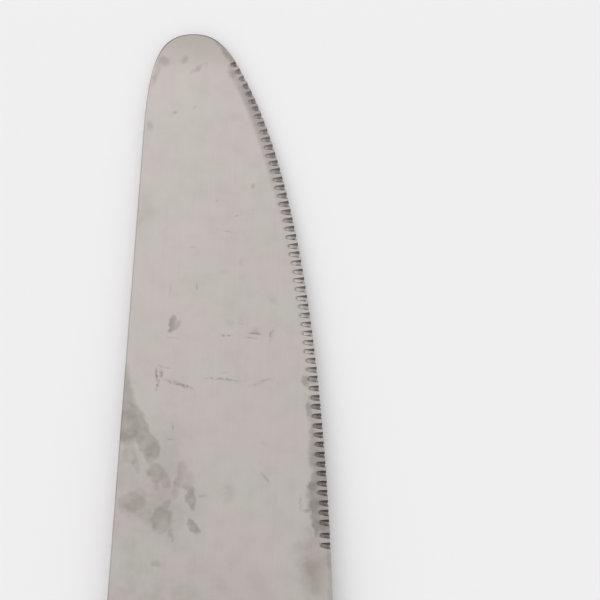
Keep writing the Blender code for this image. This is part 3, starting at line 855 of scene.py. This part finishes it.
blade_shape = rim_shape(stations)
tang_faces = [
    [blade_shape.verts.new(place(x, y, side * TANG_THICKNESS / 2)) for x, y in tang_outline]
    for side in (1, -1)
]
for corners in tang_faces:
    blade_shape.faces.new(corners)
for i in range(len(tang_outline)):
    j = (i + 1) % len(tang_outline)
    blade_shape.faces.new((tang_faces[0][i], tang_faces[0][j], tang_faces[1][j], tang_faces[1][i]))

blade = new_piece("ground_blade", blade_shape, satin_steel)
blade.data.set_sharp_from_angle(angle=GROUND_CORNER)
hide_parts("blade")


# Bolster: a collar of stainless steel, cast, slotted for the tang and polished. It slides over the
# tang up to the blade's shoulder and flares to the handle, where its spigot is brazed in.
BOLSTER_LENGTH = 8.0
BOLSTER_STEP = 0.35  # from the blade's face out to the bolster's front
FRONT_RADIUS = 0.7
FRONT_ROUNDING = 0.2  # of the rim of its front face
SPIGOT_LENGTH = 6.0
MOUTH_WIDTH = 13.6
MOUTH_THICKNESS = 6.2
SHELL_WALL = 0.8
SEAM_LAND = 0.2  # straight wall of the handle beside its seam
JOINT_GAP = 0.1
CORNER_STEPS = 14
FRONT_STEPS = 5
FLARE_STEPS = 24
POLISHED_CORNER = math.radians(35.0)  # corners sharper than this stay crisp


def corner_arc(middle_x, middle_z, radius, quarter):
    """Points of a quarter circle across the knife, as (x, z)."""
    arc = []
    for step in range(CORNER_STEPS + 1):
        angle = math.pi / 2 * (quarter + step / CORNER_STEPS)
        arc.append((middle_x + radius * math.cos(angle), middle_z + radius * math.sin(angle)))
    return arc


def rounded_ring(axis, half_width, half_height, radius):
    """A rounded rectangle across the knife, as (x, z)."""
    ring = []
    for quarter, (side, rise) in enumerate(((1, 1), (-1, 1), (-1, -1), (1, -1))):
        middle_x = axis + side * (half_width - radius)
        ring += corner_arc(middle_x, rise * (half_height - radius), radius, quarter)
    return ring


# The spigot follows the inside of the handle, so the handle's outer sizes are needed here.
HANDLE_LENGTH = 102.0
BUTT_WIDTH = 20.0
HANDLE_THICKNESS = 9.4
SWELL_LENGTH = 70.0  # from the mouth to the full thickness
HANDLE_DROOP = 1.5  # of its middle line, at the butt
BUTT_RADIUS = 6.0
BUTT_EDGE_RADIUS = 2.5


def corner_loss(radius, to_end):
    """How far a rounded corner draws a side in, close to the end."""
    if to_end >= radius:
        return 0.0
    return radius - math.sqrt(max(radius**2 - (radius - to_end) ** 2, 0.0))


def handle_sizes(distance, inset):
    """Half width, half height and middle line of the handle behind its mouth, drawn in by an inset."""
    share = distance / HANDLE_LENGTH
    half_width = blend(MOUTH_WIDTH, BUTT_WIDTH, smooth_step(share)) / 2 - inset
    half_height = blend(MOUTH_THICKNESS, HANDLE_THICKNESS, smooth_step(distance / SWELL_LENGTH)) / 2
    half_height -= inset
    to_end = HANDLE_LENGTH - inset - distance
    half_width -= corner_loss(BUTT_RADIUS - inset, to_end)
    half_height -= corner_loss(BUTT_EDGE_RADIUS - inset, to_end)
    return half_width, half_height, HANDLE_AXIS + HANDLE_DROOP * share * share


front_height = SPINE_THICKNESS / 2 + BOLSTER_STEP
bolster_rings = []
slot_ring = rounded_ring(
    HANDLE_AXIS, TANG_WIDTH / 2 + JOINT_GAP, TANG_THICKNESS / 2 + JOINT_GAP, JOINT_GAP
)
for step in range(FRONT_STEPS + 1):
    angle = math.pi / 2 * step / FRONT_STEPS
    inset = FRONT_ROUNDING * (1.0 - math.sin(angle))
    behind = FRONT_ROUNDING * (1.0 - math.cos(angle))
    ring = rounded_ring(
        HANDLE_AXIS, MOUTH_WIDTH / 2 - inset, front_height - inset, FRONT_RADIUS - inset
    )
    bolster_rings.append((-behind, ring))
for step in range(1, FLARE_STEPS + 1):
    share = step / FLARE_STEPS
    swell = smooth_step(share)
    half_height = blend(front_height, MOUTH_THICKNESS / 2, swell)
    radius = blend(FRONT_RADIUS, MOUTH_THICKNESS / 2 - SEAM_LAND, swell)
    ring = rounded_ring(HANDLE_AXIS, MOUTH_WIDTH / 2, half_height, radius)
    bolster_rings.append((-blend(FRONT_ROUNDING, BOLSTER_LENGTH, share), ring))
for distance in (0.0, SPIGOT_LENGTH / 2, SPIGOT_LENGTH):
    half_width, half_height, axis = handle_sizes(distance, SHELL_WALL + JOINT_GAP)
    ring = rounded_ring(axis, half_width, half_height, half_height - SEAM_LAND)
    bolster_rings.append((-BOLSTER_LENGTH - distance - (JOINT_GAP if distance else 0.0), ring))
bolster_rings.append((bolster_rings[-1][0], slot_ring))
bolster_rings.append((0.0, slot_ring))

bolster_shape = bmesh.new()
loops = [[bolster_shape.verts.new(place(x, y, z)) for x, z in ring] for y, ring in bolster_rings]
for loop, following in zip(loops, loops[1:] + loops[:1]):
    for i in range(len(loop)):
        j = (i + 1) % len(loop)
        face = bolster_shape.faces.new((loop[i], loop[j], following[j], following[i]))
        face.smooth = True

# Polished stainless steel: the eye sees a bright, slightly warm mirror that years of washing and
# handling have dulled with hair-fine scratches in all directions and faint smudges.
polished_steel, polished_shader = new_material("polished_stainless_steel")
SMUDGE_SIZE = 14.0
HAIR_WIDTH = 0.18  # drawn coarser than the real scratches, so that they show
HAIR_LENGTH = 9.0
HAIR_DEPTH = 0.004
HAIR_TURNS = (12, 58, 103, 151)  # degrees
HAIR_ROUGHNESS = 0.16  # added by a scratch
POLISH_ROUGHNESS = (0.16, 0.27)  # from the cleanest spots to the most smudged
handle_mm = add_node(
    polished_steel,
    "ShaderNodeVectorMath",
    {0: add_node(polished_steel, "ShaderNodeTexCoord").outputs["Object"], "Scale": 1.0 / MM},
    operation="SCALE",
).outputs[0]
smudges = add_node(
    polished_steel,
    "ShaderNodeTexNoise",
    {"Vector": handle_mm, "Scale": 1.0 / SMUDGE_SIZE, "Detail": 5.0, "Roughness": 0.6},
)
hair_mask = 0.0
for turn in HAIR_TURNS:
    hairs = add_node(
        polished_steel,
        "ShaderNodeMapping",
        {
            "Vector": handle_mm,
            "Location": (turn, 0.0, 0.0),  # another part of the noise for each direction
            "Rotation": (0.0, 0.0, math.radians(turn)),
            "Scale": (1.0 / HAIR_WIDTH, 1.0 / HAIR_LENGTH, 1.0 / HAIR_LENGTH),
        },
    )
    hairs = add_node(
        polished_steel, "ShaderNodeTexNoise", {"Vector": hairs.outputs[0], "Scale": 1.0, "Detail": 0.0}
    )
    hairs = add_node(
        polished_steel,
        "ShaderNodeMapRange",
        {"Value": hairs.outputs["Fac"], "From Min": 0.74, "From Max": 0.82},  # its peaks alone
    )
    hair_mask = add_node(
        polished_steel, "ShaderNodeMath", {0: hair_mask, 1: hairs.outputs[0]}, operation="MAXIMUM"
    ).outputs[0]
polish_colour = add_node(
    polished_steel,
    "ShaderNodeMix",
    {0: smudges.outputs["Fac"], COLOUR_A: linear("#D3CCC8"), COLOUR_B: linear("#C6BFBB")},
    data_type="RGBA",
).outputs[COLOUR_OUT]
polish_roughness = add_node(
    polished_steel,
    "ShaderNodeMapRange",
    {
        "Value": smudges.outputs["Fac"],
        "From Min": 0.35,
        "From Max": 0.7,
        "To Min": POLISH_ROUGHNESS[0],
        "To Max": POLISH_ROUGHNESS[1],
    },
).outputs[0]
polish_roughness = add_node(
    polished_steel,
    "ShaderNodeMath",
    {0: hair_mask, 1: HAIR_ROUGHNESS, 2: polish_roughness},
    operation="MULTIPLY_ADD",
).outputs[0]
polish_bump = add_node(
    polished_steel,
    "ShaderNodeBump",
    {"Height": hair_mask, "Strength": 0.12, "Distance": HAIR_DEPTH * MM},
    invert=True,
).outputs[0]
polished_shader.inputs["Metallic"].default_value = 1.0
polished_steel.node_tree.links.new(polish_colour, polished_shader.inputs["Base Color"])
polished_steel.node_tree.links.new(polish_roughness, polished_shader.inputs["Roughness"])
polished_steel.node_tree.links.new(polish_bump, polished_shader.inputs["Normal"])

bolster = new_piece("flared_bolster", bolster_shape, polished_steel)
bolster.data.set_sharp_from_angle(angle=POLISHED_CORNER)
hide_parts("bolster")


# Handle filling: hard cement, cast into the closed handle around the tang, where it grips the
# notches and gives the handle its weight. The shells hide it, so its own solid is shown.
SAND_SIZE = 0.6
SAND_DEPTH = 0.1

# Cast cement: the eye sees a matt brown grey with dark and pale grains of sand and small pits.
cast_cement, cement_shader = new_material("cast_handle_cement")
cement_mm = add_node(
    cast_cement,
    "ShaderNodeVectorMath",
    {0: add_node(cast_cement, "ShaderNodeTexCoord").outputs["Object"], "Scale": 1.0 / MM},
    operation="SCALE",
).outputs[0]
sand = add_node(
    cast_cement, "ShaderNodeTexNoise", {"Vector": cement_mm, "Scale": 1.0 / SAND_SIZE, "Detail": 6.0}
)
cement_colour = add_node(
    cast_cement,
    "ShaderNodeMix",
    {0: sand.outputs["Fac"], COLOUR_A: linear("#6F665B"), COLOUR_B: linear("#A79B8C")},
    data_type="RGBA",
).outputs[COLOUR_OUT]
cement_bump = add_node(
    cast_cement,
    "ShaderNodeBump",
    {"Height": sand.outputs["Fac"], "Strength": 0.5, "Distance": SAND_DEPTH * MM},
).outputs[0]
cement_shader.inputs["Roughness"].default_value = 0.9
cast_cement.node_tree.links.new(cement_colour, cement_shader.inputs["Base Color"])
cast_cement.node_tree.links.new(cement_bump, cement_shader.inputs["Normal"])
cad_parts["handle_filler"].material_slots[0].material = cast_cement


# Handle shells: two halves pressed from stainless sheet, trimmed at the seam, welded to each other
# and ground flush, so that the seam is a hair line round the handle. Polished like the bolster.
SEAM_HALF_GAP = 0.02
HANDLE_STATIONS = 44
BUTT_STATIONS = 16


def half_ring(distance, inset, side):
    """Half a section of the handle, from the edge side over the face to the spine side."""
    half_width, half_height, axis = handle_sizes(distance, inset)
    radius = min(half_height, half_width) - SEAM_LAND
    ring = [(axis + half_width, SEAM_HALF_GAP)]
    ring += corner_arc(axis + half_width - radius, half_height - radius, radius, 0)
    ring += corner_arc(axis - half_width + radius, half_height - radius, radius, 1)
    ring.append((axis - half_width, SEAM_HALF_GAP))
    y = -BOLSTER_LENGTH - JOINT_GAP - distance
    return [place(x, y, side * z) for x, z in ring]


def half_shell(side):
    """A hollow half of the handle, closed at the butt and open at the mouth."""
    shape = bmesh.new()
    walls = []
    for inset in (0.0, SHELL_WALL):
        end = HANDLE_LENGTH - inset
        round_start = HANDLE_LENGTH - BUTT_RADIUS
        distances = [round_start * step / HANDLE_STATIONS for step in range(HANDLE_STATIONS)]
        for step in range(BUTT_STATIONS + 1):
            turn = math.pi / 2 * step / BUTT_STATIONS
            distances.append(blend(round_start, end, math.sin(turn)))
        rings = [half_ring(distance, inset, side) for distance in distances]
        wall = [[shape.verts.new(point) for point in ring] for ring in rings]
        for near, far in zip(wall, wall[1:]):
            for i in range(len(near) - 1):
                face = shape.faces.new((near[i], near[i + 1], far[i + 1], far[i]))
                face.smooth = True
        shape.faces.new(wall[-1]).smooth = True
        walls.append(wall)
    outer, inner = walls
    for i in range(len(outer[0]) - 1):
        shape.faces.new((outer[0][i], outer[0][i + 1], inner[0][i + 1], inner[0][i]))
    for end in (0, -1):
        for k in range(len(outer) - 1):
            shape.faces.new((outer[k][end], outer[k + 1][end], inner[k + 1][end], inner[k][end]))
    shape.faces.new((outer[-1][0], outer[-1][-1], inner[-1][-1], inner[-1][0]))
    return shape


for side, name, node in (
    (1, "pressed_shell_right", "handle_shell_right"),
    (-1, "pressed_shell_left", "handle_shell_left"),
):
    shell = new_piece(name, half_shell(side), polished_steel)
    shell.data.set_sharp_from_angle(angle=POLISHED_CORNER)
    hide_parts(node)


# Table top: a plain white board. The knife's weight lies in front of the thickest part of its
# handle, so it leans forward until its tip touches: the board is drawn with that lean under it.
LEANING_HALF = 0.5  # metres; the board follows the lean so far, and runs on level
BOARD_HALF = 20.0
SETTLING_ROUNDS = 6
slope = 0.0
for _ in range(SETTLING_ROUNDS):
    touches = [
        min((point.co for point in piece.data.vertices), key=lambda spot: spot.z - slope * spot.y)
        for piece in (blade, shell)
    ]
    tip_touch, handle_touch = touches
    slope = (tip_touch.z - handle_touch.z) / (tip_touch.y - handle_touch.y)
board_corners = [
    (half * x, half * y, tip_touch.z + slope * (LEANING_HALF * y - tip_touch.y))
    for half in (LEANING_HALF, BOARD_HALF)
    for x, y in ((-1, -1), (1, -1), (1, 1), (-1, 1))
]
board = bpy.data.meshes.new("white_board")
board.from_pydata(
    board_corners,
    [],
    [(0, 1, 2, 3), (0, 4, 5, 1), (1, 5, 6, 2), (2, 6, 7, 3), (3, 7, 4, 0)],
)
table = bpy.data.objects.new("white_board", board)
bpy.context.scene.collection.objects.link(table)

# Matt white board: the eye sees an even, almost white sheet that scatters light inside itself, so
# that its shadows stay pale. A share of plain white stands for that, for what is seen directly.
WHITE_SHARE = 0.06
matt_white, white_shader = new_material("matt_white_board")
white_shader.inputs["Base Color"].default_value = linear("#FCFBFC")
white_shader.inputs["Roughness"].default_value = 0.8
white_shader.inputs["Specular IOR Level"].default_value = 0.0
seen = add_node(matt_white, "ShaderNodeLightPath")
seen_share = 0.0
for way in ("Is Camera Ray", "Is Glossy Ray", "Is Transmission Ray"):
    seen_share = add_node(
        matt_white, "ShaderNodeMath", {0: seen_share, 1: seen.outputs[way]}, operation="MAXIMUM"
    ).outputs[0]
seen_share = add_node(
    matt_white, "ShaderNodeMath", {0: seen_share, 1: WHITE_SHARE}, operation="MULTIPLY"
).outputs[0]
plain_white = add_node(
    matt_white, "ShaderNodeEmission", {"Color": linear("#F7F6F7"), "Strength": 1.0}
)
board_surface = add_node(
    matt_white,
    "ShaderNodeMixShader",
    {0: seen_share, 1: white_shader.outputs[0], 2: plain_white.outputs[0]},
)
matt_white.node_tree.links.new(
    board_surface.outputs[0], matt_white.node_tree.nodes["Material Output"].inputs["Surface"]
)
board.materials.append(matt_white)


# Light: a pale room that dims towards its floor, behind the handle and on the side of the cutting
# edge, and one soft panel beyond the tip.
ROOM_LEVEL = 1.31
BY_HEIGHT = ((0.0, 0.4), (0.2, 0.6), (0.4, 0.85), (0.7, 1.0), (1.0, 1.0))
TOWARDS_TIP = ((0.0, 0.58), (0.35, 0.72), (0.5, 0.76), (0.65, 0.82), (0.75, 0.88), (1.0, 0.97))
TOWARDS_EDGE = ((0.0, 1.0), (0.25, 1.0), (0.5, 0.94), (1.0, 0.6))
world = bpy.data.worlds.new("pale_room")
world.use_nodes = True
room = world.node_tree.nodes["Background"]
room.inputs["Color"].default_value = (1.0, 1.0, 1.0, 1.0)
direction = add_node(
    world,
    "ShaderNodeSeparateXYZ",
    {0: add_node(world, "ShaderNodeTexCoord").outputs["Generated"]},
)
towards_tip = add_node(
    world,
    "ShaderNodeMapRange",
    {"Value": direction.outputs["Y"], "From Min": -1.0, "From Max": 1.0},
)
towards_edge = add_node(
    world,
    "ShaderNodeMapRange",
    {"Value": direction.outputs["X"], "From Min": -1.0, "From Max": 1.0},
)
room_strength = ROOM_LEVEL
for share, curve in (
    (direction.outputs["Z"], BY_HEIGHT),
    (towards_tip.outputs[0], TOWARDS_TIP),
    (towards_edge.outputs[0], TOWARDS_EDGE),
):
    light = add_node(world, "ShaderNodeFloatCurve", {"Value": share})
    points = light.mapping.curves[0].points
    points[0].location = curve[0]
    points[1].location = curve[-1]
    for spot in curve[1:-1]:
        points.new(*spot)
    light.mapping.update()
    room_strength = add_node(
        world, "ShaderNodeMath", {0: room_strength, 1: light.outputs[0]}, operation="MULTIPLY"
    ).outputs[0]
world.node_tree.links.new(room_strength, room.inputs["Strength"])
bpy.context.scene.world = world

PANEL_SIZE = (1.2, 0.5)  # metres
PANEL_PLACE = (-0.2, 0.75, 0.34)
PANEL_POWER = 0.7
panel = bpy.data.lights.new("soft_panel", "AREA")
panel.shape = "RECTANGLE"
panel.size, panel.size_y = PANEL_SIZE
panel.energy = PANEL_POWER
panel_lamp = bpy.data.objects.new("soft_panel", panel)
panel_lamp.location = PANEL_PLACE
panel_lamp.rotation_euler = (-panel_lamp.location).to_track_quat("-Z", "Y").to_euler()
bpy.context.scene.collection.objects.link(panel_lamp)


# Camera: looks down on the blade from the handle's side, tilted a little from straight down. It is so
# close that the tip is a good deal further off than the middle of the blade, and the heel and the
# handle stay outside the picture.
LOOK_AT = (16.256, 79.857, 0.0)
CAMERA_DISTANCE = 115.812
TILT = math.radians(16.833)  # from straight down
SWING = math.radians(1.874)
FOCAL_LENGTH = 72.0
SENSOR_WIDTH = 36.0
NEAREST = 0.01  # metres
lens = bpy.data.cameras.new("camera")
lens.lens = FOCAL_LENGTH
lens.sensor_width = SENSOR_WIDTH
lens.clip_start = NEAREST
camera = bpy.data.objects.new("camera", lens)
look_at = place(*LOOK_AT)
back = Vector(
    (math.sin(TILT) * math.sin(SWING), -math.sin(TILT) * math.cos(SWING), math.cos(TILT))
)
camera.location = look_at + back * CAMERA_DISTANCE * MM
camera.rotation_euler = (TILT, 0.0, SWING)
bpy.context.scene.collection.objects.link(camera)
bpy.context.scene.camera = camera
bpy.context.scene.view_settings.view_transform = "Standard"
